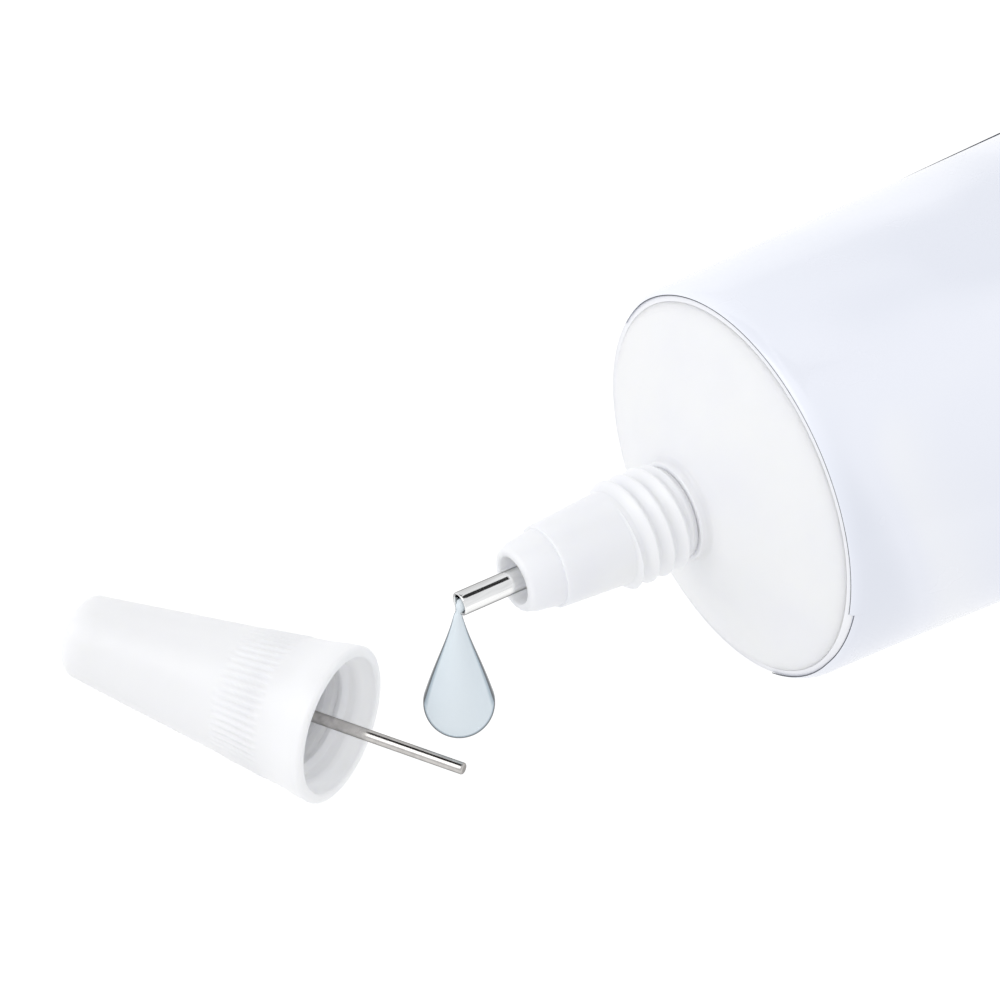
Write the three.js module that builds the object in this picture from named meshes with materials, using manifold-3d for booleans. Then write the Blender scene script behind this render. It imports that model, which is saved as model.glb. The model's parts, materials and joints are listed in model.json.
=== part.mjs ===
// Adhesive tube with a steel needle nozzle and a screw cap that carries a blocking pin.
// Millimetres, +Z up. The tube lies on its broad side, nozzle towards -X, cap loose beside the tip.
// "Station" is the distance forward of the tube's front edge, along the tube's own axis.
import * as THREE from 'three';
import { mergeVertices } from 'three/addons/utils/BufferGeometryUtils.js';
import Module from 'manifold-3d';

const wasm = await Module();
wasm.setup();

// Tube
const TUBE_R = 17.3;          // outside of the round front end
const TUBE_L = 150;           // front edge to tail edge
const WALL = 0.5;             // laminate wall
const CRIMP_L = 9;            // flat welded tail
const CRIMP_HALF = 0.55;      // half of the crimp's thickness
const FLATTEN_START = 28;     // how far ahead of the crimp the section squares off
const FULLNESS = 1.12;        // 1 tapers straight, more keeps the tube plumper
const UNDERSIDE_DENT = 0.15;  // how much the round underside is flattened by its own weight
const CORNER_IN = 1.1;        // how far the front edge is drawn in over the shoulder
const CORNER_L = 1.6;
const TILT = Math.atan((TUBE_R - CRIMP_HALF) / TUBE_L);

// Label
const LABEL_GAP = 0.08;
const LABEL_T = 0.12;
const LABEL_BACK = 113;       // rear edge of the label, behind the front edge
const LABEL_FROM = 36;        // degrees, from level on the +Y side up over the top
const LABEL_TO = 234;
const LABEL_SKEW = 0.35;      // setback of the lower lap's corner
const LAP_ANGLE = 5;          // degrees above level where the lower lap begins
const LAP_SPREAD = 0.45;      // radians over which the setback runs out

// Shoulder moulding
const NECK_STATION = 4.6;     // top of the shoulder cone
const COLLAR_STATION = 5.35;  // top of the collar ring round the nozzle
const SEAT_GAP = 0.15;        // between the collar and the seated nozzle
const COLLAR_R = 4.35;
const SHOULDER_T = 1.5;
const SOCKET_FLOOR = 0.9;
const ORIFICE_R = 1.6;

// Threads
const PITCH = 1.5;
const THREAD_ROOT_R = 3.98;   // outside of the nozzle between the cap thread's ridges
const THREAD_CREST_R = 4.62;
const SPIGOT_R = 2.65;        // root of the thread that holds the nozzle in the shoulder
const SPIGOT_RIDGE = 0.35;
const RUN_GAP = 0.2;          // running clearance between threads

// Nozzle and needle
const STEP_STATION = 17.8;
const TIP_STATION = 21.0;
const TIP_R = 2.85;
const RECESS_R = 2.05;
const RECESS_FLOOR = 18.5;
const NEEDLE_TIP = 26.2;
const NEEDLE_BACK = 12.4;
const NEEDLE_R = 1.0;
const NEEDLE_BORE_R = 0.75;

// Drop of glue
const DROP_R = 3.1;
const DROP_H = 16.2;
const DROP_AHEAD = 0.3;       // how far in front of the needle's face it hangs
const DROP_BELOW = 0.95;      // how far below the needle's axis its top is

// Cap, measured inwards from its mouth
const CAP_L = 25.5;
const CAP_FLOOR = 24.0;
const LIP_R = 6.85;
const CROWN_R = 3.75;         // outside, where the closed end's edge begins to round over
const MOUTH_R = 5.9;
const CAP_THREAD_ROOT_R = 5.1;
const CAP_THREAD_CREST_R = 4.42;
const RIBS = 54;
const RIB_H = 0.14;
const RIBS_FROM = 4.2;
const RIBS_TO = 9.8;
const PIN_R = 0.5;
const PIN_OUT = 11.6;         // length of pin beyond the mouth
const CAP_MOUTH_AT = [-35.8, 3.0];
const CAP_HEADING = THREE.MathUtils.degToRad(-60);

// Where the tube's section is drawn, behind the front edge
const NOSE_SECTIONS = [0.5, 0.9, CORNER_L];
const FORE_SECTIONS = [10, 24, 46, 68, 90, LABEL_BACK];
const AFT_SECTIONS = [120, 127, 134, TUBE_L - CRIMP_L];

const ROUND = 40;             // facets round the nozzle and the cap's inside
const TUBE_ROUND = 60;        // facets round the tube

const material = (color, roughness, metalness = 0) =>
  new THREE.MeshStandardMaterial({ color, roughness, metalness });
const whitePlastic = () => material(0xf1f2f5, 0.35);
const steel = () => material(0xc9c9c8, 0.2, 1);

function volumeOf(geometry) {
  const p = geometry.attributes.position;
  const index = geometry.index.array;
  const corner = [new THREE.Vector3(), new THREE.Vector3(), new THREE.Vector3()];
  let volume = 0;
  for (let i = 0; i < index.length; i += 3) {
    corner.forEach((v, k) => v.fromBufferAttribute(p, index[i + k]));
    volume += corner[0].dot(corner[1].clone().cross(corner[2])) / 6;
  }
  return volume;
}

// Welds a geometry, drops triangles that the weld closed up, and turns its faces outwards.
function closed(geometry) {
  geometry.deleteAttribute('normal');
  geometry.deleteAttribute('uv');
  const welded = mergeVertices(geometry, 1e-4);
  const kept = [];
  const index = welded.index.array;
  for (let i = 0; i < index.length; i += 3) {
    const [a, b, c] = [index[i], index[i + 1], index[i + 2]];
    if (a !== b && b !== c && c !== a) kept.push(a, b, c);
  }
  welded.setIndex(kept);
  if (volumeOf(welded) < 0) {
    for (let i = 0; i < kept.length; i += 3) [kept[i], kept[i + 1]] = [kept[i + 1], kept[i]];
    welded.setIndex(kept);
  }
  welded.computeVertexNormals();
  return welded;
}

function toManifold(geometry) {
  return new wasm.Manifold(new wasm.Mesh({
    numProp: 3,
    vertProperties: new Float32Array(geometry.attributes.position.array),
    triVerts: new Uint32Array(geometry.index.array),
  }));
}

function fromManifold(solid) {
  const mesh = solid.getMesh();
  const geometry = new THREE.BufferGeometry();
  geometry.setAttribute('position', new THREE.Float32BufferAttribute(mesh.vertProperties, 3));
  geometry.setIndex(Array.from(mesh.triVerts));
  geometry.computeVertexNormals();
  return geometry;
}

const carve = (outer, inner) => fromManifold(toManifold(outer).subtract(toManifold(inner)));

const ramp = (x, from, to) => THREE.MathUtils.clamp((x - from) / (to - from), 0, 1);

// Evenly spaced values from a to b, both included, no further apart than step.
function spaced(a, b, step) {
  const count = Math.max(1, Math.ceil(Math.abs(b - a) / step));
  return Array.from({ length: count + 1 }, (_, i) => a + (b - a) * i / count);
}

// Turns a profile of [radius, height] points about +Y; relief(height, turn, radius) adds to the radius.
function turned(profile, segments = ROUND, relief = null) {
  const points = profile.map(([r, y]) => new THREE.Vector2(r, y));
  const geometry = new THREE.LatheGeometry(points, segments);
  const p = geometry.attributes.position;
  for (let i = 0; relief && i < p.count; i++) {
    const [r, y] = profile[i % profile.length];
    if (r === 0) continue;
    const turn = Math.floor(i / profile.length) / segments * 2 * Math.PI;
    const scale = (r + relief(y, turn, r)) / r;
    p.setX(i, p.getX(i) * scale);
    p.setZ(i, p.getZ(i) * scale);
  }
  return closed(geometry);
}

// Height from 0 to 1 of a right-hand thread's ridge, with its ends faded out.
function ridge(height, turn, start, end, offset = 0) {
  const along = (height - start) / PITCH - turn / (2 * Math.PI) + offset;
  const fromCrest = Math.abs(along - Math.round(along));
  const fade = ramp(height, start - 0.3, start + 0.3) * (1 - ramp(height, end - 0.3, end + 0.3));
  return ramp(0.36 - fromCrest, 0, 0.2) * fade;
}

// Points of an arc in a profile, radii and heights, angles in degrees from the radial direction.
function arc(r, y, radius, from, to, steps = 4) {
  return spaced(from, to, Math.abs(to - from) / steps).map((degrees) => {
    const a = THREE.MathUtils.degToRad(degrees);
    return [r + radius * Math.cos(a), y + radius * Math.sin(a)];
  });
}

// Half-height of the tube's section at x behind the front edge.
function halfHeight(x) {
  const t = Math.min(x / (TUBE_L - CRIMP_L), 1);
  return CRIMP_HALF + (TUBE_R - CRIMP_HALF) * (1 - t ** FULLNESS);
}

// Half-width that keeps the same distance round the tube at every half-height.
function halfWidth(x) {
  return TUBE_R * (Math.PI / 2 - (Math.PI / 2 - 1) * (halfHeight(x) / TUBE_R) ** 1.69);
}

// Point on the tube's skin, x behind the front edge, angle from +Y towards +Z, inset below the surface.
function skinPoint(x, angle, inset, fraction = 1) {
  const drawnIn = CORNER_IN * (1 - Math.sqrt(1 - (1 - ramp(x, 0, CORNER_L)) ** 2));
  const high = Math.max(halfHeight(x) - drawnIn - inset, 0.05);
  const wide = halfWidth(x) - drawnIn - inset;
  const crimp = TUBE_L - CRIMP_L;
  const square = 1 + 5 * ramp(x, crimp - FLATTEN_START, crimp);
  const dent = UNDERSIDE_DENT * ramp(x, 0, 20) * ramp(high, 0, TUBE_R);
  const floor = -TUBE_R + x * Math.tan(TILT);
  const middle = floor + halfHeight(x);
  const up = high * THREE.MathUtils.clamp(square * Math.sin(angle), -1, 1) - dent;
  const z = Math.max(middle + fraction * up, floor + inset);
  return [x, fraction * wide * Math.cos(angle), z];
}

// Closed skin round the tube; each row is [x, inset, fraction of the section].
function tubeSkin(rows) {
  const points = rows.map(([x, , fraction]) => new THREE.Vector2(fraction, x));
  const geometry = new THREE.LatheGeometry(points, TUBE_ROUND);
  const p = geometry.attributes.position;
  for (let i = 0; i < p.count; i++) {
    const [x, inset, fraction] = rows[i % rows.length];
    const angle = Math.floor(i / rows.length) / TUBE_ROUND * 2 * Math.PI;
    p.setXYZ(i, ...skinPoint(x, angle, inset, fraction));
  }
  return closed(geometry);
}

const part = new THREE.Group();
const tube = new THREE.Group();
const cap = new THREE.Group();
part.add(tube, cap);

tube.rotation.y = TILT;
tube.position.z = TUBE_R * Math.cos(TILT);

function add(group, name, geometry, itsMaterial) {
  const mesh = new THREE.Mesh(geometry, itsMaterial);
  mesh.name = name;
  group.add(mesh);
  return mesh;
}

// Turned pieces are drawn up +Y and laid down along -X, so their height becomes the station.
function addTurned(group, name, geometry, itsMaterial) {
  const mesh = add(group, name, geometry, itsMaterial);
  mesh.rotation.z = Math.PI / 2;
  return mesh;
}

function makeSleeve() {
  const front = 0.35;
  const inside = [front, ...NOSE_SECTIONS, ...FORE_SECTIONS, ...AFT_SECTIONS.slice(0, -1)].reverse();
  const outside = [front, ...NOSE_SECTIONS, ...FORE_SECTIONS, ...AFT_SECTIONS, TUBE_L];
  return tubeSkin([
    [inside[0], WALL, 0], ...inside.map((x) => [x, WALL, 1]),
    ...outside.map((x) => [x, 0, 1]), [TUBE_L, 0, 0],
  ]);
}

function makeLabel() {
  const from = THREE.MathUtils.degToRad(LABEL_FROM);
  const sweep = THREE.MathUtils.degToRad(LABEL_TO - LABEL_FROM);
  const lap = Math.PI - THREE.MathUtils.degToRad(LAP_ANGLE);
  const behind = [...NOSE_SECTIONS, ...FORE_SECTIONS];
  const geometry = new THREE.BoxGeometry(1, 1, 1, behind.length, 33, 1);
  const p = geometry.attributes.position;
  for (let i = 0; i < p.count; i++) {
    const angle = from + (p.getY(i) + 0.5) * sweep;
    const past = angle < lap ? 0 : 1 - ramp(angle, lap, lap + LAP_SPREAD);
    const front = 0.1 + LABEL_SKEW * past;
    const x = [front, ...behind][Math.round((p.getX(i) + 0.5) * behind.length)];
    const inset = -LABEL_GAP - LABEL_T * (p.getZ(i) + 0.5);
    p.setXYZ(i, ...skinPoint(x, angle, inset));
  }
  return closed(geometry);
}

function makeGlueFill() {
  const inset = WALL + 0.35;
  const xs = [8, ...FORE_SECTIONS.slice(1), ...AFT_SECTIONS.slice(0, -2)];
  return tubeSkin([[xs[0], inset, 0], ...xs.map((x) => [x, inset, 1]), [xs.at(-1), inset, 0]]);
}

function makeShoulder() {
  const skirtR = TUBE_R - WALL - 0.3;
  const edgeR = skirtR - 0.7;
  const slope = (NECK_STATION - 0.1) / (edgeR - COLLAR_R - 0.5);
  const profile = [
    [skirtR - 0.5, -4.5], [skirtR, -1.9], [skirtR, -0.95], [skirtR - 0.25, -0.4], [skirtR - 0.5, -0.05],
    ...spaced(edgeR, 6.2, 4.8).map((r) => [r, 0.1 + (edgeR - r) * slope]),
    ...arc(COLLAR_R + 0.5, NECK_STATION + 0.3, 0.5, 250, 190, 3),
    ...arc(COLLAR_R - 0.2, COLLAR_STATION - 0.2, 0.2, 0, 90, 2),
    [SPIGOT_R + RUN_GAP + 0.55, COLLAR_STATION],
    ...spaced(COLLAR_STATION - 0.3, SOCKET_FLOOR + 0.3, 0.25).map((y) => [SPIGOT_R + RUN_GAP, y]),
    [SPIGOT_R + RUN_GAP, SOCKET_FLOOR],
    [ORIFICE_R, SOCKET_FLOOR], [ORIFICE_R, -0.4],
    [4.4, -0.4], [4.4, 2.9], [6.2, 2.6],
    [skirtR - SHOULDER_T, -1.6], [skirtR - 1.5, -4.5], [skirtR - 0.5, -4.5],
  ];
  const socket = (y, turn, r) =>
    (Math.abs(r - SPIGOT_R - RUN_GAP) < 1e-6
      ? SPIGOT_RIDGE * ridge(y, turn, SOCKET_FLOOR + 0.5, COLLAR_STATION + 9) : 0);
  return turned(profile, ROUND, socket);
}

// Thin barrier disc seated against the inside of the shoulder.
function makeBarrier() {
  return turned([
    [4.8, -0.8], [6.4, 1.9], [14.2, -2.2], [14.2, -2.8], [6.4, 1.3], [5.1, -1.1], [4.8, -1.1], [4.8, -0.8],
  ], ROUND);
}

function makeGasket() {
  return turned([
    [ORIFICE_R + 0.1, SOCKET_FLOOR + 0.15], [SPIGOT_R - 0.05, SOCKET_FLOOR + 0.15],
    [SPIGOT_R - 0.05, SOCKET_FLOOR + 0.55], [ORIFICE_R + 0.1, SOCKET_FLOOR + 0.55],
    [ORIFICE_R + 0.1, SOCKET_FLOOR + 0.15],
  ], 32);
}

function makeNozzle() {
  const base = SOCKET_FLOOR + 0.8;
  const threadFrom = COLLAR_STATION + 1.05;
  const threadTo = 11.7;
  const stepR = 3.58;
  const profile = [
    [ORIFICE_R, base], [SPIGOT_R - 0.3, base],
    ...spaced(base + 0.2, COLLAR_STATION - 0.1, 0.25).map((y) => [SPIGOT_R, y]),
    [SPIGOT_R, COLLAR_STATION + SEAT_GAP], [THREAD_ROOT_R - 0.15, COLLAR_STATION + SEAT_GAP],
    [THREAD_ROOT_R, COLLAR_STATION + SEAT_GAP + 0.15],
    ...spaced(threadFrom - 0.1, threadTo, 0.19).map((y) => [THREAD_ROOT_R, y]),
    [stepR, STEP_STATION],
    ...arc(stepR - 0.14, STEP_STATION + 0.02, 0.14, 0, 90, 2),
    [3.32, STEP_STATION + 0.2],
    ...arc(TIP_R - 0.5, TIP_STATION - 0.5, 0.5, 5, 90),
    [RECESS_R + 0.08, TIP_STATION], [RECESS_R, TIP_STATION - 0.08],
    [RECESS_R, RECESS_FLOOR], [NEEDLE_R + 0.12, RECESS_FLOOR],
    [NEEDLE_R + 0.12, NEEDLE_BACK - 0.2], [0.85, NEEDLE_BACK - 0.4],
    [ORIFICE_R, NEEDLE_BACK - 2], [ORIFICE_R, base],
  ];
  const threads = (y, turn, r) => {
    if (r === THREAD_ROOT_R) {
      return (THREAD_CREST_R - THREAD_ROOT_R) * ridge(y, turn, threadFrom + 0.2, threadTo - 0.4);
    }
    if (r === SPIGOT_R) return SPIGOT_RIDGE * ridge(y, turn, SOCKET_FLOOR + 0.5, COLLAR_STATION - 0.7);
    return 0;
  };
  return turned(profile, ROUND, threads);
}

function makeNeedle() {
  const rim = (NEEDLE_R - NEEDLE_BORE_R) / 2;
  return turned([
    [NEEDLE_BORE_R, NEEDLE_BACK], [NEEDLE_R, NEEDLE_BACK],
    ...arc(NEEDLE_R - rim, NEEDLE_TIP - rim, rim, 0, 180, 4),
    [NEEDLE_BORE_R, NEEDLE_BACK],
  ], 28);
}

function makeDrop() {
  const lean = Math.acos(DROP_R / (DROP_H - DROP_R));
  const degrees = THREE.MathUtils.radToDeg(lean);
  return turned([
    [0, 0], ...arc(0, DROP_R, DROP_R, -75, 90 - degrees, 8),
    [0.14, DROP_H - 0.15], [0, DROP_H],
  ], 28);
}

function makeCapShell() {
  const outer = [
    [0, 0], [MOUTH_R + 0.25, 0], ...arc(LIP_R - 0.35, 0.35, 0.35, -60, 0, 3),
    [LIP_R - 0.1, 1.1], [6.62, 1.9], [6.4, 3.0], [6.25, RIBS_FROM],
    [6.2, RIBS_FROM + 0.3], [5.8, 7.3], [5.56, RIBS_TO - 0.3], [5.52, RIBS_TO],
    [4.86, 16], [CROWN_R, CAP_L - 1.15], ...arc(CROWN_R - 0.9, CAP_L - 0.9, 0.9, 0, 90, 4), [0, CAP_L],
  ];
  const ribs = (y, turn) => {
    const band = ramp(y, RIBS_FROM, RIBS_FROM + 0.3) * (1 - ramp(y, RIBS_TO - 0.3, RIBS_TO));
    return RIB_H * band * Math.cos(RIBS * turn);
  };
  const threadEnd = 6.4;
  const inner = [
    [0, -1], [MOUTH_R, -1], [MOUTH_R, 0.5], [CAP_THREAD_ROOT_R, 1.5],
    ...spaced(1.65, threadEnd, 0.2).map((y) => [CAP_THREAD_ROOT_R - 0.01, y]),
    [4.42, 7.0], [3.9, 11.6], [3.4, 16], [2.6, CAP_FLOOR - 0.4], [2.2, CAP_FLOOR],
    [1.35, CAP_FLOOR], [1.25, CAP_FLOOR - 2.7], [0.62, CAP_FLOOR - 2.9],
    [0.62, CAP_FLOOR + 0.3], [0, CAP_FLOOR + 0.3],
  ];
  const thread = (y, turn, r) =>
    (r === CAP_THREAD_ROOT_R - 0.01
      ? (CAP_THREAD_CREST_R - CAP_THREAD_ROOT_R) * ridge(y, turn, 2.2, threadEnd - 0.5) : 0);
  return carve(turned(outer, RIBS * 2, ribs), turned(inner, ROUND, thread));
}

function makeCapPin() {
  const back = CAP_FLOOR + 0.15;
  return turned([
    [0, -PIN_OUT], ...arc(PIN_R - 0.25, 0.25 - PIN_OUT, 0.25, -70, 0, 3), [PIN_R, back], [0, back],
  ], 20);
}

add(tube, 'tube_sleeve', makeSleeve(), material(0xe9ebf7, 0.3));
add(tube, 'label_wrap', makeLabel(), material(0xe6e9f8, 0.25));
add(tube, 'glue_fill', makeGlueFill(), material(0xdce8f0, 0.15));
addTurned(tube, 'shoulder', makeShoulder(), whitePlastic());
addTurned(tube, 'barrier_insert', makeBarrier(), material(0xb9bcc2, 0.35, 0.6));
addTurned(tube, 'neck_gasket', makeGasket(), material(0xd8d8d4, 0.6));
addTurned(tube, 'nozzle', makeNozzle(), whitePlastic());
addTurned(tube, 'needle', makeNeedle(), steel());

const drop = add(part, 'glue_drop', makeDrop(), material(0xd5e4ee, 0.05));
drop.rotation.x = Math.PI / 2;
drop.position.set(
  -(NEEDLE_TIP + DROP_AHEAD) * Math.cos(TILT), 0,
  TUBE_R * Math.cos(TILT) + NEEDLE_TIP * Math.sin(TILT) - DROP_BELOW - DROP_H,
);

addTurned(cap, 'cap_shell', makeCapShell(), whitePlastic());
addTurned(cap, 'cap_pin', makeCapPin(), steel());
cap.rotation.set(0, -Math.atan((LIP_R - CROWN_R) / (CAP_L - 1.5)), CAP_HEADING, 'ZYX');
cap.position.set(...CAP_MOUTH_AT, LIP_R);
cap.updateMatrixWorld(true);
cap.position.z -= new THREE.Box3().setFromObject(cap, true).min.z;

// The frame's origin is under the middle of everything, on the surface that it rests on.
part.updateMatrixWorld(true);
const extent = new THREE.Box3().setFromObject(part, true);
part.position.set(-(extent.min.x + extent.max.x) / 2, -(extent.min.y + extent.max.y) / 2, -extent.min.z);

export default part;
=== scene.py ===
# Looks for the glue tube with a needle nozzle and a screw cap.
# Lengths are in millimetres until a mesh is made. "Station" is the distance ahead of the tube's front edge.
import json
import math

import bmesh
import bpy
import numpy as np
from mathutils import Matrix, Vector


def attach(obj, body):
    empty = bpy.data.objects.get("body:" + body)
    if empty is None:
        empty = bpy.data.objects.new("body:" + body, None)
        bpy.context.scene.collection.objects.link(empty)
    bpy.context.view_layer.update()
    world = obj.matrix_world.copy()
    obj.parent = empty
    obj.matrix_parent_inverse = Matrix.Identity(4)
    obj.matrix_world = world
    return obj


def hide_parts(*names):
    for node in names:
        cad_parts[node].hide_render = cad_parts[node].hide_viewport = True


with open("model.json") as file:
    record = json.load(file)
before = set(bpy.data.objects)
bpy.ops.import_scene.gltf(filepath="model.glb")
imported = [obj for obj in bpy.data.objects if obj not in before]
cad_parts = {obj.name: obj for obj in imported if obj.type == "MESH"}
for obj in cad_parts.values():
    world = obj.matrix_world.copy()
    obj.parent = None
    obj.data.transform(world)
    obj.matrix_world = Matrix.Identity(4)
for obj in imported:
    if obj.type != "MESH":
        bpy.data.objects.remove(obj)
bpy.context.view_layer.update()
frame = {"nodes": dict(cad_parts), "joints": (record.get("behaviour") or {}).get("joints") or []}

MM = 0.001
JOINTS = {j["name"]: j for j in frame["joints"]}

# Tube
TUBE_R = 17.3
TUBE_L = 150
WALL = 0.5
CRIMP_L = 9
CRIMP_HALF = 0.55           # half the thickness of the tail's weld
FLATTEN_START = 28          # how far before the weld the top and underside start to go flat
FULLNESS = 1.12             # above 1, the side view stays thick for longer
WIDTH_POWER = 1.69          # how the width grows as the height shrinks
UNDERSIDE_DENT = 0.15
CORNER_IN = 1.1             # the rounded front edge: how far in it goes, over what length
CORNER_L = 1.6
RIM_OUTSIDE = 0.42          # where the sleeve's outer and inner faces begin, behind the front edge
RIM_INSIDE = 0.3
HOLLOW_DEPTH = 0.16
GROOVE_DEPTH = 0.16         # grooves across the weld
GROOVE_STEP = 0.95
TILT_SLOPE = (TUBE_R - CRIMP_HALF) / TUBE_L

# Label; turns go from +Y towards +Z
LABEL_GAP = 0.06
LABEL_T = 0.09
LABEL_BACK = 113
LABEL_FRONT = 0.3
LABEL_FROM = math.radians(16)
LABEL_FULL = math.radians(34)   # where it has its full thickness
LABEL_TO = math.radians(234)
LABEL_SKEW = 0.35           # its front edge steps back by this at LAP, and returns over LAP_SPREAD radians
LAP = math.radians(175)
LAP_SPREAD = 0.45
FLAP_FROM = math.radians(-40)
FLAP_TO = math.radians(19.5)
FLAP_FRONT = 4.0
FLAP_LIFT = LABEL_T + 0.02

# Shoulder, threads, nozzle and needle. The names ending in _R are radii, and those ending in
# STATION, FLOOR, START, END, TIP or BACK are stations.
NECK_STATION = 4.6
COLLAR_STATION = 5.35
SEAT_GAP = 0.04
COLLAR_R = 4.35
SHOULDER_T = 1.5
SKIRT_GAP = 0.3
SKIRT_L = 4.5
SOCKET_FLOOR = 0.9
ORIFICE_R = 1.6
PITCH = 1.5
RIDGE_HALF = 0.36           # half the width of a thread's ridge at its foot, in pitches
THREAD_ROOT_R = 3.98
THREAD_CREST_R = 4.62
THREAD_START = COLLAR_STATION + 0.45
THREAD_END = 11.7
SPIGOT_R = 2.65
SPIGOT_RIDGE = 0.35
RUN_GAP = 0.2
STEP_STATION = 17.8
STEP_R = 3.58
TIP_STATION = 21.0
TIP_R = 2.85
RECESS_R = 2.05
RECESS_FLOOR = 18.5
NEEDLE_TIP = 26.2
NEEDLE_BACK = 12.4
NEEDLE_R = 1.0
NEEDLE_BORE_R = 0.75
PRESS_GAP = 0.12            # between a steel piece and the plastic that holds it
JOINT_STATION = 10          # of the point that the nozzle_turn joint gives

# Drop
DROP_R = 3.0
DROP_H = 15.75
DROP_AHEAD = 0.12           # where it hangs, measured from the middle of the needle's mouth
DROP_BELOW = 0.9
DROP_NECK_R = 0.3

# Cap, measured inwards from its mouth
CAP_L = 25.5
CAP_FLOOR = 24.0
LIP_R = 6.85
CROWN_R = 3.75
CONE_R = 5.52               # where the ribs end and the smooth cone begins
MOUTH_R = 5.9
CAP_THREAD_ROOT_R = 5.1
CAP_THREAD_CREST_R = 4.42
RIBS = 54
RIB_H = 0.09
RIBS_FROM = 4.2
RIBS_TO = 9.8
PIN_R = 0.5
PIN_OUT = 11.6              # how far it stands out of the mouth

ROUND = 192                 # sides of a turned piece

# Camera, in metres and degrees
CAMERA_AT = (-0.17267, -0.15896, 0.27427)
CAMERA_AZIMUTH = -32.6
CAMERA_ELEVATION = 52.195
LENS = 141.2

CARD_DISTANCE = 0.3         # from a black card to the steel that it shows in, in metres


def ramp(x, start, end):
    return np.clip((x - start) / (end - start), 0, 1)


def soft(x):
    return x * x * (3 - 2 * x)


def spaced(a, b, step):
    return list(np.linspace(a, b, max(1, math.ceil(abs(b - a) / step)) + 1))


def arc(r, h, radius, start, end, steps=8):
    """Points of an arc in a profile, angles in degrees from the radial direction."""
    angles = np.radians(np.linspace(start, end, steps + 1))
    return [(r + radius * math.cos(a), h + radius * math.sin(a)) for a in angles]


def through(points, step):
    """The points of a profile with more put between them on a smooth curve that passes through each."""
    p = np.array(points, float)
    out = []
    for i in range(len(p) - 1):
        before, a, b, after = p[max(i - 1, 0)], p[i], p[i + 1], p[min(i + 2, len(p) - 1)]
        count = max(1, math.ceil(np.linalg.norm(b - a) / step))
        for t in np.arange(count) / count:
            out.append(tuple(0.5 * (2 * a + (b - before) * t
                                    + (2 * before - 5 * a + 4 * b - after) * t ** 2
                                    + (3 * a - before - 3 * b + after) * t ** 3)))
    return out + [tuple(p[-1])]


def ridge(height, turn, start, end, rise=0.22, fall=0.22):
    """Height from 0 to 1 of a right-hand thread's ridge, with its ends faded out.
    rise and fall are the widths in pitches of its flanks, on the side of small and of large heights."""
    along = (height - start) / PITCH - turn / (2 * math.pi)
    past_crest = along - np.round(along)
    flanks = np.minimum(ramp(past_crest + RIDGE_HALF, 0, rise), ramp(RIDGE_HALF - past_crest, 0, fall))
    fade = ramp(height, start - 0.3, start + 0.3) * (1 - ramp(height, end - 0.3, end + 0.3))
    return (0.6 * flanks + 0.4 * soft(flanks)) * soft(fade)


class Place:
    """Where a group of pieces stands: local x, y and z in millimetres to the row frame in metres."""

    def __init__(self, origin, forward):
        x = -np.array(forward, float)
        y = np.cross((0, 0, 1), x)
        y /= np.linalg.norm(y)
        self.axes = np.array([x, y, np.cross(x, y)])
        self.origin = np.array(origin, float)

    def world(self, points):
        return self.origin + MM * np.asarray(points, float) @ self.axes


def front_of_tube():
    turn = JOINTS["nozzle_turn"]
    return np.array(turn["pos_m"]) - JOINT_STATION * MM * np.array(turn["axis"])


TUBE = Place(front_of_tube(), JOINTS["nozzle_turn"]["axis"])
CAP = Place(JOINTS["cap_turn"]["pos_m"], -np.array(JOINTS["cap_turn"]["axis"]))


def turned(profile, segments=ROUND, side=-1):
    """A closed body turned about the local x axis from (radius, height) rows.
    A row's third item, a function of height and turn, adds to its radius.
    The profile is a loop, or runs from axis to axis. side is -1 where height runs towards -x."""
    looped = profile[0][:2] == profile[-1][:2] and profile[0][0] > 0
    rows = profile[:-1] if looped else profile
    turns = np.arange(segments) / segments * 2 * math.pi
    points, starts, count = [], [], 0
    for row in rows:
        r, h = row[:2]
        if r == 0:
            ring = np.array([[side * h, 0.0, 0.0]])
        else:
            radii = r + (row[2](h, turns) if len(row) > 2 else np.zeros(segments))
            ring = np.stack([np.full(segments, side * h), radii * np.sin(turns), radii * np.cos(turns)], 1)
        points.append(ring)
        starts.append(count)
        count += len(ring)
    faces = []
    for i in range(len(rows) if looped else len(rows) - 1):
        a, b = i, (i + 1) % len(rows)
        for k in range(segments):
            n = (k + 1) % segments
            if rows[a][0] == 0:
                faces.append((starts[a], starts[b] + k, starts[b] + n))
            elif rows[b][0] == 0:
                faces.append((starts[a] + n, starts[a] + k, starts[b]))
            else:
                faces.append((starts[a] + k, starts[b] + k, starts[b] + n, starts[a] + n))
    return np.concatenate(points), faces


def grid_faces(rows, columns, closed_round):
    faces = []
    for i in range(rows - 1):
        for k in range(columns if closed_round else columns - 1):
            n = (k + 1) % columns
            faces.append((i * columns + k, (i + 1) * columns + k, (i + 1) * columns + n, i * columns + n))
    return faces


def piece(name, shape, place, body, node, materials, zones=None, sharp=38):
    """Makes a mesh piece that stands for a CAD node, with edges sharper than the given angle left crisp."""
    points, faces = shape
    mesh = bpy.data.meshes.new(name)
    mesh.from_pydata(place.world(points).tolist(), [], faces)
    for m in materials:
        mesh.materials.append(m)
    if zones is not None:
        mesh.polygons.foreach_set("material_index", np.asarray(zones, np.int32))
    bm = bmesh.new()
    bm.from_mesh(mesh)
    bmesh.ops.recalc_face_normals(bm, faces=bm.faces)
    for face in bm.faces:
        face.smooth = True
    for edge in bm.edges:
        edge.smooth = len(edge.link_faces) == 2 and edge.calc_face_angle() < math.radians(sharp)
    bm.to_mesh(mesh)
    bm.free()
    obj = bpy.data.objects.new(name, mesh)
    bpy.context.scene.collection.objects.link(obj)
    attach(obj, body)
    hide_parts(node)


# ---------------------------------------------------------------- tube skin

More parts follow.
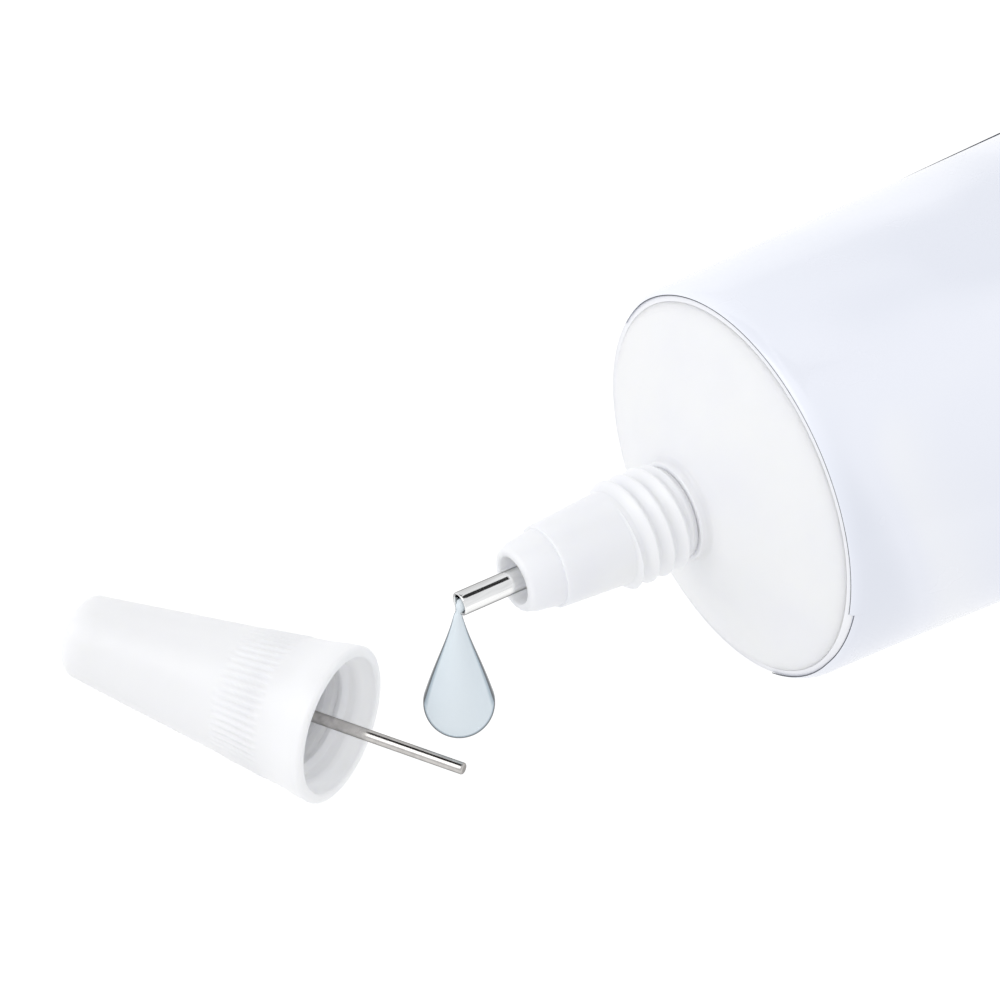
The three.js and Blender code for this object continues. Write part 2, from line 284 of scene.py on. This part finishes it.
def half_height(x):
    return CRIMP_HALF + (TUBE_R - CRIMP_HALF) * (1 - np.minimum(x / (TUBE_L - CRIMP_L), 1) ** FULLNESS)


def half_width(x):
    return TUBE_R * (math.pi / 2 - (math.pi / 2 - 1) * (half_height(x) / TUBE_R) ** WIDTH_POWER)


def skin_point(x, angle, inset):
    """Points on the tube's skin, or inset below it. x is behind the front edge, angle from +Y towards +Z."""
    drawn_in = CORNER_IN * (1 - np.sqrt(1 - (1 - ramp(x, 0, CORNER_L)) ** 2))
    high = np.maximum(half_height(x) - drawn_in - inset, 0.05)
    wide = half_width(x) - drawn_in - inset
    crimp = TUBE_L - CRIMP_L
    square = 1 + 5 * ramp(x, crimp - FLATTEN_START, crimp)
    dent = UNDERSIDE_DENT * ramp(x, 0, 20) * ramp(high, 0, TUBE_R)
    floor = -TUBE_R + x * TILT_SLOPE
    up = high * np.clip(square * np.sin(angle), -1, 1) - dent
    z = np.maximum(floor + half_height(x) + up, floor + inset)
    return np.stack(np.broadcast_arrays(x, wide * np.cos(angle), z), -1)


def hollows(x, angle):
    """How far the handled laminate is pressed in: broad shallow waves that fade out before both ends."""
    waves = (np.cos(x / 11.0 + 2 * angle + 0.6) + np.cos(x / 17.0 - 3 * angle + 2.1)
             + np.cos(x / 7.3 + 5 * angle) * 0.5) / 2.5
    return HOLLOW_DEPTH * (1 + waves) / 2 * ramp(x, 4, 30) * (1 - ramp(x, 118, 134))


def emboss(x):
    """Depth of the grooves pressed across the weld, which stop short of both its edges."""
    weld = TUBE_L - CRIMP_L
    across = 0.5 + 0.5 * np.cos((x - weld - 1) / GROOVE_STEP * 2 * math.pi)
    pressed = ramp(x, weld + 0.9, weld + 1.2) * (1 - ramp(x, TUBE_L - 1.6, TUBE_L - 1.3))
    return GROOVE_DEPTH * across * pressed


def sleeve_shape():
    """The sleeve as one closed shell, and its face zones: zone 1 is the white rim at its front."""
    columns = 216
    angle = np.arange(columns) / columns * 2 * math.pi
    nose = RIM_OUTSIDE + np.array([0, 0.08, 0.18, 0.33, 0.53, 0.78, 1.03, 1.33])
    body = np.concatenate([nose, spaced(2.2, 116, 2.0), spaced(117, TUBE_L - CRIMP_L, 1.0)])
    crimp = np.array(spaced(TUBE_L - CRIMP_L + 0.12, TUBE_L - 0.25, 0.12))
    outside = [(x, 0) for x in np.concatenate([body, crimp])] + [(TUBE_L - 0.08, 0.06), (TUBE_L, 0.2)]
    inside = [(RIM_INSIDE, WALL)] + [(x, WALL) for x in body[1:] if x < TUBE_L - CRIMP_L - 6]
    points = [skin_point(np.full(columns, inside[-1][0]), angle, WALL).mean(0, keepdims=True)]
    for x, inset in inside[::-1] + outside:
        xs = np.full(columns, x)
        points.append(skin_point(xs, angle, inset + hollows(xs, angle) + emboss(xs)))
    points.append(skin_point(np.full(columns, TUBE_L), angle, 0.2).mean(0, keepdims=True))
    rows = len(inside) + len(outside)
    faces = [tuple(i + 1 for i in f) for f in grid_faces(rows, columns, True)]
    white = range((len(inside) - 2) * columns, (len(inside) + 2) * columns)
    zones = [int(i in white) for i in range(len(faces))] + [0] * (2 * columns)
    last = 1 + rows * columns
    for k in range(columns):
        n = (k + 1) % columns
        faces.append((0, 1 + k, 1 + n))
        faces.append((last, last - columns + n, last - columns + k))
    return (np.concatenate(points), faces), zones


def film_shape(turns, front, thickness, lift):
    """A sheet of the label's film. Zone 1 is the strip along its cut edges, which takes the near-black
    painted shade.
    """
    meet = front.max() + CORNER_L
    near = front + (meet - front) * np.array([0, 0.07, 0.16, 0.28, 0.44, 0.66])[:, None]
    along = np.concatenate([near, np.repeat(np.array(spaced(meet, LABEL_BACK, 2.0))[:, None], len(turns), 1)])
    angle = np.broadcast_to(turns, along.shape)
    base = hollows(along, angle) - LABEL_GAP - lift
    layers = [skin_point(along, angle, base - thickness), skin_point(along, angle, base)]
    rows, columns = along.shape
    count = rows * columns
    outside = grid_faces(rows, columns, False)
    inside = [tuple(i + count for i in f[::-1]) for f in outside]
    rim = list(range(columns)) + [i * columns + columns - 1 for i in range(1, rows)]
    rim += [count - 1 - k for k in range(1, columns)] + [i * columns for i in range(rows - 2, 0, -1)]
    strip = [(a, b, b + count, a + count) for a, b in zip(rim, rim[1:] + rim[:1])]
    zones = [0] * (len(outside) * 2) + [1] * len(strip)
    return np.concatenate([layer.reshape(-1, 3) for layer in layers]), outside + inside + strip, zones


def label_shape():
    """The main sheet, and the flap that comes round the far side and laps over the sheet's start."""
    turns = np.concatenate([np.linspace(LABEL_FROM, LAP, 120), np.linspace(LAP + 0.004, LABEL_TO, 44)])
    past = np.where(turns > LAP, 1 - ramp(turns, LAP, LAP + LAP_SPREAD), 0)
    grown = 0.1 + 0.9 * soft(ramp(turns, LABEL_FROM, LABEL_FULL))
    main = film_shape(turns, LABEL_FRONT + LABEL_SKEW * past, LABEL_T * grown, LABEL_GAP * (grown - 1))
    turns = np.linspace(FLAP_FROM, FLAP_TO, 48)
    over = FLAP_LIFT * soft(ramp(turns, LABEL_FROM - 0.1, LABEL_FROM))
    flap = film_shape(turns, np.full(len(turns), FLAP_FRONT), LABEL_T, over)
    shift = len(main[0])
    faces = main[1] + [tuple(i + shift for i in f) for f in flap[1]]
    return (np.concatenate([main[0], flap[0]]), faces), main[2] + flap[2]


# ---------------------------------------------------------------- turned pieces

def shoulder_profile():
    skirt = TUBE_R - WALL - SKIRT_GAP
    edge = skirt - 0.7
    slope = (NECK_STATION - 0.1) / (edge - COLLAR_R - 0.5)

    def socket(h, turn):
        return SPIGOT_RIDGE * ridge(h, turn, SOCKET_FLOOR + 0.5, COLLAR_STATION + 9)

    bore = SPIGOT_R + RUN_GAP
    cone = [(r, 0.1 + (edge - r) * slope) for r in spaced(edge - 0.15, 6.2, 0.6)]
    return (
        [(skirt - 0.5, -SKIRT_L), (skirt - 0.1, -2.2), (skirt, -1.9), (skirt, -0.6)]
        + through([(skirt, -0.5), (skirt - 0.08, -0.31), (skirt - 0.45, -0.07), (edge - 0.1, 0.12)], 0.1)[:-1]
        + cone + arc(COLLAR_R + 0.5, NECK_STATION + 0.3, 0.5, 255, 190, 8)
        + arc(COLLAR_R - 0.15, COLLAR_STATION - 0.15, 0.15, 0, 90, 5)
        + [(r, h, socket) for r, h in arc(bore + 0.25, COLLAR_STATION - 0.25, 0.25, 90, 180, 4)[:-1]]
        + [(bore, h, socket) for h in spaced(COLLAR_STATION - 0.3, SOCKET_FLOOR + 0.3, 0.12)]
        + [(bore, SOCKET_FLOOR), (ORIFICE_R, SOCKET_FLOOR), (ORIFICE_R, -0.4), (4.4, -0.4), (4.4, 2.9)]
        + [(6.2, 2.6), (skirt - SHOULDER_T, -1.6), (skirt - SHOULDER_T, -SKIRT_L), (skirt - 0.5, -SKIRT_L)])


def nozzle_profile():
    base = SOCKET_FLOOR + 0.8

    def cap_thread(h, turn):
        height = ridge(h, turn, THREAD_START + 0.14, THREAD_END - 0.4, rise=0.1, fall=0.52)
        return (THREAD_CREST_R - THREAD_ROOT_R) * height

    def spigot_thread(h, turn):
        return SPIGOT_RIDGE * ridge(h, turn, SOCKET_FLOOR + 0.5, COLLAR_STATION - 0.7)

    taper = (THREAD_ROOT_R - STEP_R) / (STEP_STATION - THREAD_END)
    heights = spaced(THREAD_END + 0.1, STEP_STATION - 0.15, 0.5)
    cone = [(THREAD_ROOT_R - (h - THREAD_END) * taper, h) for h in heights]
    return (
        [(ORIFICE_R, base), (SPIGOT_R - 0.3, base)]
        + [(SPIGOT_R, h, spigot_thread) for h in spaced(base + 0.2, COLLAR_STATION - 0.1, 0.1)]
        + [(SPIGOT_R, COLLAR_STATION + SEAT_GAP), (THREAD_ROOT_R - 0.5, COLLAR_STATION + SEAT_GAP)]
        + arc(THREAD_ROOT_R - 0.15, COLLAR_STATION + SEAT_GAP + 0.15, 0.15, -80, 0, 4)
        + [(THREAD_ROOT_R, h, cap_thread) for h in spaced(THREAD_START - 0.1, THREAD_END, 0.06)]
        + cone + arc(STEP_R - 0.14, STEP_STATION, 0.14, 0, 90, 5) + [(3.34, STEP_STATION + 0.14)]
        + [(3.32, STEP_STATION + 0.3), (3.2, 18.9), (3.05, 20.0)]
        + arc(TIP_R - 0.5, TIP_STATION - 0.5, 0.5, 15, 90, 8)
        + arc(RECESS_R + 0.12, TIP_STATION - 0.12, 0.12, 90, 180, 4)
        + [(RECESS_R, RECESS_FLOOR + 0.2), (RECESS_R - 0.06, RECESS_FLOOR + 0.06)]
        + [(RECESS_R - 0.2, RECESS_FLOOR), (NEEDLE_R + PRESS_GAP, RECESS_FLOOR)]
        + [(NEEDLE_R + PRESS_GAP, NEEDLE_BACK - 0.2), (0.85, NEEDLE_BACK - 0.4)]
        + [(ORIFICE_R, NEEDLE_BACK - 2), (ORIFICE_R, base)])


def needle_profile():
    rim = (NEEDLE_R - NEEDLE_BORE_R) / 2
    return (
        [(NEEDLE_BORE_R, NEEDLE_BACK), (NEEDLE_R, NEEDLE_BACK)]
        + [(NEEDLE_R, h) for h in spaced(NEEDLE_BACK + 1, NEEDLE_TIP - 0.5, 1.0)]
        + arc(NEEDLE_R - rim, NEEDLE_TIP - rim, rim, 0, 180, 10)
        + [(NEEDLE_BORE_R, h) for h in spaced(NEEDLE_TIP - 0.6, NEEDLE_BACK + 1, 1.0)]
        + [(NEEDLE_BORE_R, NEEDLE_BACK)])


def cap_outside():
    """The cap's outer profile, from the middle of its crown to its lip."""
    def ribs(h, turn):
        band = soft(ramp(h, RIBS_FROM, RIBS_FROM + 1.2)) * soft(1 - ramp(h, RIBS_TO - 1.6, RIBS_TO))
        return RIB_H * band * np.cos(RIBS * turn)

    neck = through([(LIP_R - 0.1, 1.1), (6.62, 1.9), (6.4, 3.0), (6.25, RIBS_FROM - 0.05)], 0.3)
    grip = [(r, h, ribs) for r, h in through([(6.24, RIBS_FROM), (5.8, 7.3), (CONE_R, RIBS_TO)], 0.12)]
    shut = CAP_L - 1.15
    slope = (CONE_R - CROWN_R) / (shut - RIBS_TO)
    cone = [(CONE_R - (h - RIBS_TO) * slope, h) for h in spaced(RIBS_TO + 0.1, shut, 0.6)]
    return (
        [(0, CAP_L), (1.5, CAP_L)] + arc(CROWN_R - 0.9, CAP_L - 0.9, 0.9, 90, 0, 8)
        + cone[::-1] + grip[::-1] + neck[::-1]
        + arc(LIP_R - 0.35, 0.35, 0.35, 0, -75, 8))


def cap_inside():
    """The cap's inner profile, from its mouth to the sleeve that holds the pin."""
    def thread(h, turn):
        return (CAP_THREAD_CREST_R - CAP_THREAD_ROOT_R) * ridge(h, turn, 2.2, 5.9)

    return (
        arc(MOUTH_R + 0.2, 0.2, 0.2, 270, 180, 5)
        + [(MOUTH_R, 0.5), (5.45, 1.1), (CAP_THREAD_ROOT_R, 1.5)]
        + [(CAP_THREAD_ROOT_R - 0.01, h, thread) for h in spaced(1.6, 6.4, 0.08)]
        + [(4.42, 7.0), (3.9, 11.6), (3.4, 16)]
        + [(2.6, CAP_FLOOR - 0.4), (2.45, CAP_FLOOR - 0.12), (2.2, CAP_FLOOR)]
        + [(1.35, CAP_FLOOR), (1.25, CAP_FLOOR - 2.7), (1.1, CAP_FLOOR - 2.86), (0.7, CAP_FLOOR - 2.9)]
        + [(PIN_R + PRESS_GAP, CAP_FLOOR - 2.8), (PIN_R + PRESS_GAP, CAP_FLOOR + 0.3), (0, CAP_FLOOR + 0.3)])


def pin_profile():
    back = CAP_FLOOR + 0.15
    return ([(0, -PIN_OUT), (0.3, -PIN_OUT)] + arc(PIN_R - 0.17, 0.17 - PIN_OUT, 0.17, -80, 0, 5)
            + [(PIN_R, h) for h in spaced(1 - PIN_OUT, back - 0.2, 1.2)] + [(PIN_R - 0.05, back), (0, back)])


def drop_shape():
    """A hanging bead, and the wet plug above its neck that fills part of the needle's mouth."""
    meet = math.degrees(math.acos(DROP_R / (DROP_H - DROP_R)))
    side = arc(0, DROP_R, DROP_R, -88, 90 - meet, 40)
    r0, h0 = side[-1]
    neck = []
    for t in np.linspace(0.03, 1, 44):
        straight = r0 * (1 - t)
        radius = straight * (1 + 0.05 * math.sin(math.pi * t)) + DROP_NECK_R * t ** 4
        neck.append((radius, h0 + (DROP_H - 0.2 - h0) * t))
    plug = through([(0.32, DROP_H), (0.42, DROP_H + 0.3), (0.5, DROP_H + 0.65), (0.4, DROP_H + 1.05)], 0.1)
    points, faces = turned([(0, 0)] + side + neck + plug + [(0, DROP_H + 1.25)], 96, side=1)
    points[:, 1] += 0.4 * soft(ramp(points[:, 0], DROP_H - 0.7, DROP_H + 0.9))
    return np.stack([points[:, 1], points[:, 2], points[:, 0]], 1), faces


# ---------------------------------------------------------------- materials

class Finish:
    """A node material, with short ways to add the nodes that it needs."""

    def __init__(self, name):
        self.material = bpy.data.materials.new(name)
        self.material.use_nodes = True
        self.tree = self.material.node_tree
        self.shader = self.tree.nodes["Principled BSDF"]

    def set(self, **values):
        for name, value in values.items():
            self.shader.inputs[name.replace("_", " ")].default_value = value

    def node(self, kind, **settings):
        made = self.tree.nodes.new("ShaderNode" + kind)
        for name, value in settings.items():
            setattr(made, name, value)
        return made

    def link(self, out, to):
        self.tree.links.new(out, to)

    def place(self, stretch=(1, 1, 1), turn=(0, 0, 0), shift=(0, 0, 0)):
        coordinates = self.node("TexCoord")
        mapping = self.node("Mapping")
        mapping.inputs["Scale"].default_value = stretch
        mapping.inputs["Rotation"].default_value = turn
        mapping.inputs["Location"].default_value = shift
        self.link(coordinates.outputs["Object"], mapping.inputs["Vector"])
        return mapping.outputs["Vector"]

    def noise(self, scale, detail=3.0, roughness=0.5, distortion=0.0, **where):
        texture = self.node("TexNoise")
        texture.inputs["Scale"].default_value = scale
        texture.inputs["Detail"].default_value = detail
        texture.inputs["Roughness"].default_value = roughness
        texture.inputs["Distortion"].default_value = distortion
        self.link(self.place(**where), texture.inputs["Vector"])
        return texture.outputs["Fac"]

    def ramp(self, factor, stops):
        ramp_node = self.node("ValToRGB")
        ramp_node.color_ramp.interpolation = "EASE"
        elements = ramp_node.color_ramp.elements
        while len(elements) < len(stops):
            elements.new(0.5)
        for element, (at, colour) in zip(elements, stops):
            element.position = at
            element.color = (*colour, 1)
        self.link(factor, ramp_node.inputs["Fac"])
        return ramp_node.outputs["Color"]

    def span(self, factor, low, high, start=0.3, end=0.7):
        across = self.node("MapRange")
        for name, value in (("From Min", start), ("From Max", end), ("To Min", low), ("To Max", high)):
            across.inputs[name].default_value = value
        self.link(factor, across.inputs["Value"])
        return across.outputs["Result"]

    def bump(self, height, strength, distance, after=None):
        made = self.node("Bump")
        made.inputs["Strength"].default_value = strength
        made.inputs["Distance"].default_value = distance
        self.link(height, made.inputs["Height"])
        if after is not None:
            self.link(after, made.inputs["Normal"])
        return made.outputs["Normal"]

    def use(self, **sockets):
        for name, out in sockets.items():
            self.link(out, self.shader.inputs[name.replace("_", " ")])
        return self.material


def laminate():
    """The sleeve's satin skin, with broad cloudy patches and a fine grain."""
    f = Finish("laminate")
    f.set(IOR=1.5, Coat_Weight=0.25, Coat_Roughness=0.12)
    broad = f.noise(28, 2.0, 0.45, 0.6)
    colour = f.ramp(broad, [
        (0.36, (0.8, 0.825, 0.9)),
        (0.5, (0.86, 0.88, 0.97)),
        (0.62, (0.94, 0.95, 0.99))])
    fine = f.noise(900, 2.0)
    rough = f.span(f.noise(140, 3.0), 0.24, 0.36)
    normal = f.bump(broad, 0.35, 0.0012, f.bump(fine, 0.12, 0.00004))
    return f.use(Base_Color=colour, Roughness=rough, Normal=normal)


def label_film():
    """Glossy film, clouded like the laminate under it."""
    f = Finish("label_film")
    f.set(IOR=1.5, Coat_Weight=0.35, Coat_Roughness=0.08)
    broad = f.noise(26, 2.0, 0.45, 0.8, shift=(0.03, 0.1, 0.07))
    colour = f.ramp(broad, [
        (0.36, (0.825, 0.85, 0.925)),
        (0.5, (0.9, 0.92, 0.99)),
        (0.62, (0.965, 0.975, 0.998))])
    fine = f.noise(1100, 2.0)
    rough = f.span(f.noise(160, 3.0), 0.18, 0.3)
    normal = f.bump(broad, 0.45, 0.0014, f.bump(fine, 0.1, 0.00003))
    return f.use(Base_Color=colour, Roughness=rough, Normal=normal)


def label_edge_painted_shade():
    # Painted shade: the film's cut edge is coloured near black to stand for the shadowed gap and edge line
    # along the label.
    f = Finish("label_edge_painted_shade")
    grain = f.noise(700, 3.0)
    colour = f.ramp(grain, [(0.3, (0.03, 0.033, 0.04)), (0.75, (0.09, 0.095, 0.11))])
    return f.use(Base_Color=colour, Roughness=f.span(grain, 0.5, 0.7))


def white_plastic(name, shade, shift, depth):
    """Moulded white plastic, with faint cloudiness, uneven gloss and a fine moulded skin.
    Light reaches depth metres into it. shade scales its colours."""
    f = Finish(name)
    f.set(IOR=1.49, Subsurface_Weight=float(depth > 0))
    f.set(Subsurface_Radius=(1.0, 1.0, 0.95), Subsurface_Scale=depth)
    cloud = f.noise(60, 3.0, 0.5, shift=shift)
    low = tuple(shade * c for c in (0.875, 0.88, 0.91))
    high = tuple(shade * c for c in (0.925, 0.93, 0.955))
    colour = f.ramp(cloud, [(0.3, low), (0.7, high)])
    skin = f.noise(1500, 2.0, shift=shift)
    flow = f.noise(220, 2.0, shift=shift)
    normal = f.bump(flow, 0.12, 0.0002, f.bump(skin, 0.1, 0.00003))
    return f.use(Base_Color=colour, Roughness=f.span(cloud, 0.26, 0.38), Normal=normal)


def steel(name, along, bright, rough_low, rough_high):
    """Drawn steel: fine scratches along the tube and a slightly uneven polish."""
    f = Finish(name)
    # Painted shade: the edge tint is set near black, which darkens the steel's outline at grazing angles.
    f.set(Metallic=1.0, Specular_Tint=(0.1, 0.1, 0.1, 1))
    turn = Vector((1, 0, 0)).rotation_difference(Vector(along)).to_euler()
    streaks = f.noise(1800, 3.0, 0.6, stretch=(0.03, 1, 1), turn=tuple(-a for a in turn))
    cloud = f.noise(420, 2.0)
    colour = f.ramp(streaks, [(0.3, tuple(0.86 * c for c in bright)), (0.7, bright)])
    normal = f.bump(streaks, 0.1, 0.00002)
    return f.use(Base_Color=colour, Roughness=f.span(cloud, rough_low, rough_high), Normal=normal)


def glue_bead():
    """Clear glue: pale in the middle, with painted shade that darkens its outline in the base colour."""
    f = Finish("glue_bead")
    f.set(IOR=1.4, Transmission_Weight=0.1, Specular_IOR_Level=0.03)
    facing = f.node("LayerWeight")
    facing.inputs["Blend"].default_value = 0.5
    # Painted shade: the colour goes dark as the surface turns away from view, standing in for the dark
    # refractions at the bead's edge.
    colour = f.ramp(facing.outputs["Facing"], [
        (0.0, (0.88, 0.95, 0.99)),
        (0.6, (0.86, 0.94, 0.985)),
        (0.71, (0.5, 0.6, 0.67)),
        (0.78, (0.02, 0.035, 0.05))])
    swirl = f.noise(180, 2.0, 0.4, 1.0)
    return f.use(Base_Color=colour, Roughness=f.span(swirl, 0.02, 0.06))


def glue_bulk():
    f = Finish("glue_bulk")
    f.set(IOR=1.4, Transmission_Weight=0.4)
    swirl = f.noise(70, 2.0, 0.4, 1.0)
    colour = f.ramp(swirl, [(0.3, (0.74, 0.84, 0.9)), (0.7, (0.82, 0.9, 0.94))])
    return f.use(Base_Color=colour, Roughness=f.span(swirl, 0.06, 0.14))


def barrier_foil():
    f = Finish("barrier_foil")
    f.set(Metallic=0.8)
    grain = f.noise(500, 3.0)
    colour = f.ramp(grain, [(0.3, (0.62, 0.63, 0.66)), (0.7, (0.74, 0.75, 0.78))])
    return f.use(Base_Color=colour, Roughness=f.span(grain, 0.3, 0.45), Normal=f.bump(grain, 0.2, 0.00004))


def gasket_foam():
    f = Finish("gasket_foam")
    cells = f.node("TexVoronoi")
    cells.inputs["Scale"].default_value = 2600
    f.link(f.place(), cells.inputs["Vector"])
    colour = f.ramp(cells.outputs["Distance"], [(0.0, (0.6, 0.6, 0.58)), (0.5, (0.78, 0.78, 0.76))])
    return f.use(Base_Color=colour, Roughness=f.span(f.noise(900), 0.6, 0.8),
                 Normal=f.bump(cells.outputs["Distance"], 0.5, 0.00008))


def floor_finish():
    f = Finish("floor_sheet")
    f.set(Emission_Strength=0.8, Specular_IOR_Level=0.0)
    f.shader.inputs["Emission Color"].default_value = (1, 1, 1, 1)
    f.shader.inputs["Roughness"].default_value = 0.9
    colour = f.ramp(f.noise(3, 2.0), [(0.3, (0.29, 0.29, 0.29)), (0.7, (0.31, 0.31, 0.31))])
    return f.use(Base_Color=colour)


# ---------------------------------------------------------------- the object

def build_tube():
    """The tube's visible pieces, and new finishes for the three CAD nodes that stay hidden inside it."""
    film, edge = label_film(), label_edge_painted_shade()
    rim = white_plastic("rim_plastic", 1.0, (0.02, 0, 0), 0)
    shape, zones = sleeve_shape()
    piece("sleeve_skin", shape, TUBE, "tube", "tube_sleeve", [laminate(), rim], zones, sharp=50)
    shape, zones = label_shape()
    piece("label_sheet", shape, TUBE, "tube", "label_wrap", [film, edge], zones, sharp=60)
    piece("shoulder_moulding", turned(shoulder_profile()), TUBE, "tube", "shoulder",
          [white_plastic("shoulder_plastic", 1.0, (0.02, 0, 0), 0.0012)])
    inner = {"glue_fill": glue_bulk(), "barrier_insert": barrier_foil(), "neck_gasket": gasket_foam()}
    for node, finish in inner.items():
        materials = frame["nodes"][node].data.materials
        materials.clear()
        materials.append(finish)


def build_nozzle():
    forward = JOINTS["nozzle_turn"]["axis"]
    piece("nozzle_moulding", turned(nozzle_profile()), TUBE, "nozzle_cone", "nozzle",
          [white_plastic("nozzle_plastic", 1.0, (0, 0.03, 0), 0.0012)])
    piece("needle_tube", turned(needle_profile(), 96), TUBE, "needle_tip", "needle",
          [steel("needle_steel", forward, (0.95, 0.95, 0.94), 0.06, 0.12)])
    mouth = TUBE.world([(-NEEDLE_TIP, 0, 0)])[0]
    hang = Place(mouth + MM * np.array([DROP_AHEAD * forward[0], 0, -DROP_BELOW - DROP_H]), (-1, 0, 0))
    piece("glue_bead", drop_shape(), hang, "needle_tip", "glue_drop", [glue_bead()], sharp=80)


def build_cap():
    out = JOINTS["cap_turn"]["axis"]
    shape = turned(cap_outside() + cap_inside(), RIBS * 8)
    piece("cap_moulding", shape, CAP, "screw_cap", "cap_shell",
          [white_plastic("cap_plastic", 1.038, (0, 0, 0.05), 0.002)])
    piece("pin_rod", turned(pin_profile(), 48), CAP, "blocking_pin", "cap_pin",
          [steel("pin_steel", out, (0.6, 0.58, 0.56), 0.1, 0.18)])


# ---------------------------------------------------------------- the studio

def plane(name, centre, size, facing, finish):
    x = Vector(facing).normalized().orthogonal().normalized()
    y = Vector(facing).normalized().cross(x)
    corners = [Vector(centre) + size / 2 * (a * x + b * y) for a, b in ((-1, -1), (1, -1), (1, 1), (-1, 1))]
    mesh = bpy.data.meshes.new(name)
    mesh.from_pydata([tuple(c) for c in corners], [], [(0, 1, 2, 3)])
    mesh.materials.append(finish)
    obj = bpy.data.objects.new(name, mesh)
    bpy.context.scene.collection.objects.link(obj)
    return obj


def area_light(name, at, target, size, power):
    data = bpy.data.lights.new(name, "AREA")
    data.shape = "SQUARE"
    data.size = size
    data.energy = power
    lamp = bpy.data.objects.new(name, data)
    lamp.location = at
    lamp.rotation_euler = (Vector(target) - Vector(at)).to_track_quat("-Z", "Y").to_euler()
    lamp.visible_camera = False
    bpy.context.scene.collection.objects.link(lamp)


def dark_card(name, target, direction, size):
    """A black card that shows only in reflections, as a streak along the polished steel."""
    finish = Finish(name)
    finish.set(Base_Color=(0.01, 0.01, 0.01, 1), Roughness=0.9)
    direction = Vector(direction).normalized()
    card = plane(name, Vector(target) + CARD_DISTANCE * direction, size, direction, finish.material)
    card.visible_camera = False
    card.visible_diffuse = False
    card.visible_shadow = False
    card.visible_transmission = False


def build_studio():
    """The floor lies just below the object, so that the two share no plane."""
    floor = plane("floor", (0, 0, -0.0002), 6.0, (0, 0, 1), floor_finish())
    floor.visible_diffuse = False
    dark_card("card_needle", TUBE.world([(-NEEDLE_TIP, 0, 0)])[0], (0.496, 0.161, 0.854), 0.13)
    dark_card("card_pin", CAP.world([(0.6 * PIN_OUT, 0, 0)])[0], (0.0, 0.56, 0.83), 0.2)
    area_light("key", (-0.46, 0.12, 0.48), (-0.03, 0, 0.01), 0.45, 0.85)
    world = bpy.data.worlds.new("studio")
    world.use_nodes = True
    background = world.node_tree.nodes["Background"]
    background.inputs["Color"].default_value = (0.975, 0.982, 1.0, 1)
    background.inputs["Strength"].default_value = 0.88
    bpy.context.scene.world = world
    bpy.context.scene.view_settings.view_transform = "Standard"


def build_camera():
    azimuth, elevation = math.radians(CAMERA_AZIMUTH), math.radians(CAMERA_ELEVATION)
    level = math.cos(elevation)
    direction = Vector((-math.sin(azimuth) * level, math.cos(azimuth) * level, -math.sin(elevation)))
    data = bpy.data.cameras.new("camera")
    data.sensor_width = 36
    data.lens = LENS
    data.clip_start = 0.005
    camera = bpy.data.objects.new("camera", data)
    camera.location = CAMERA_AT
    camera.rotation_euler = direction.to_track_quat("-Z", "Y").to_euler()
    bpy.context.scene.collection.objects.link(camera)
    bpy.context.scene.camera = camera


build_tube()
build_nozzle()
build_cap()
build_studio()
build_camera()

bpy.context.view_layer.update()
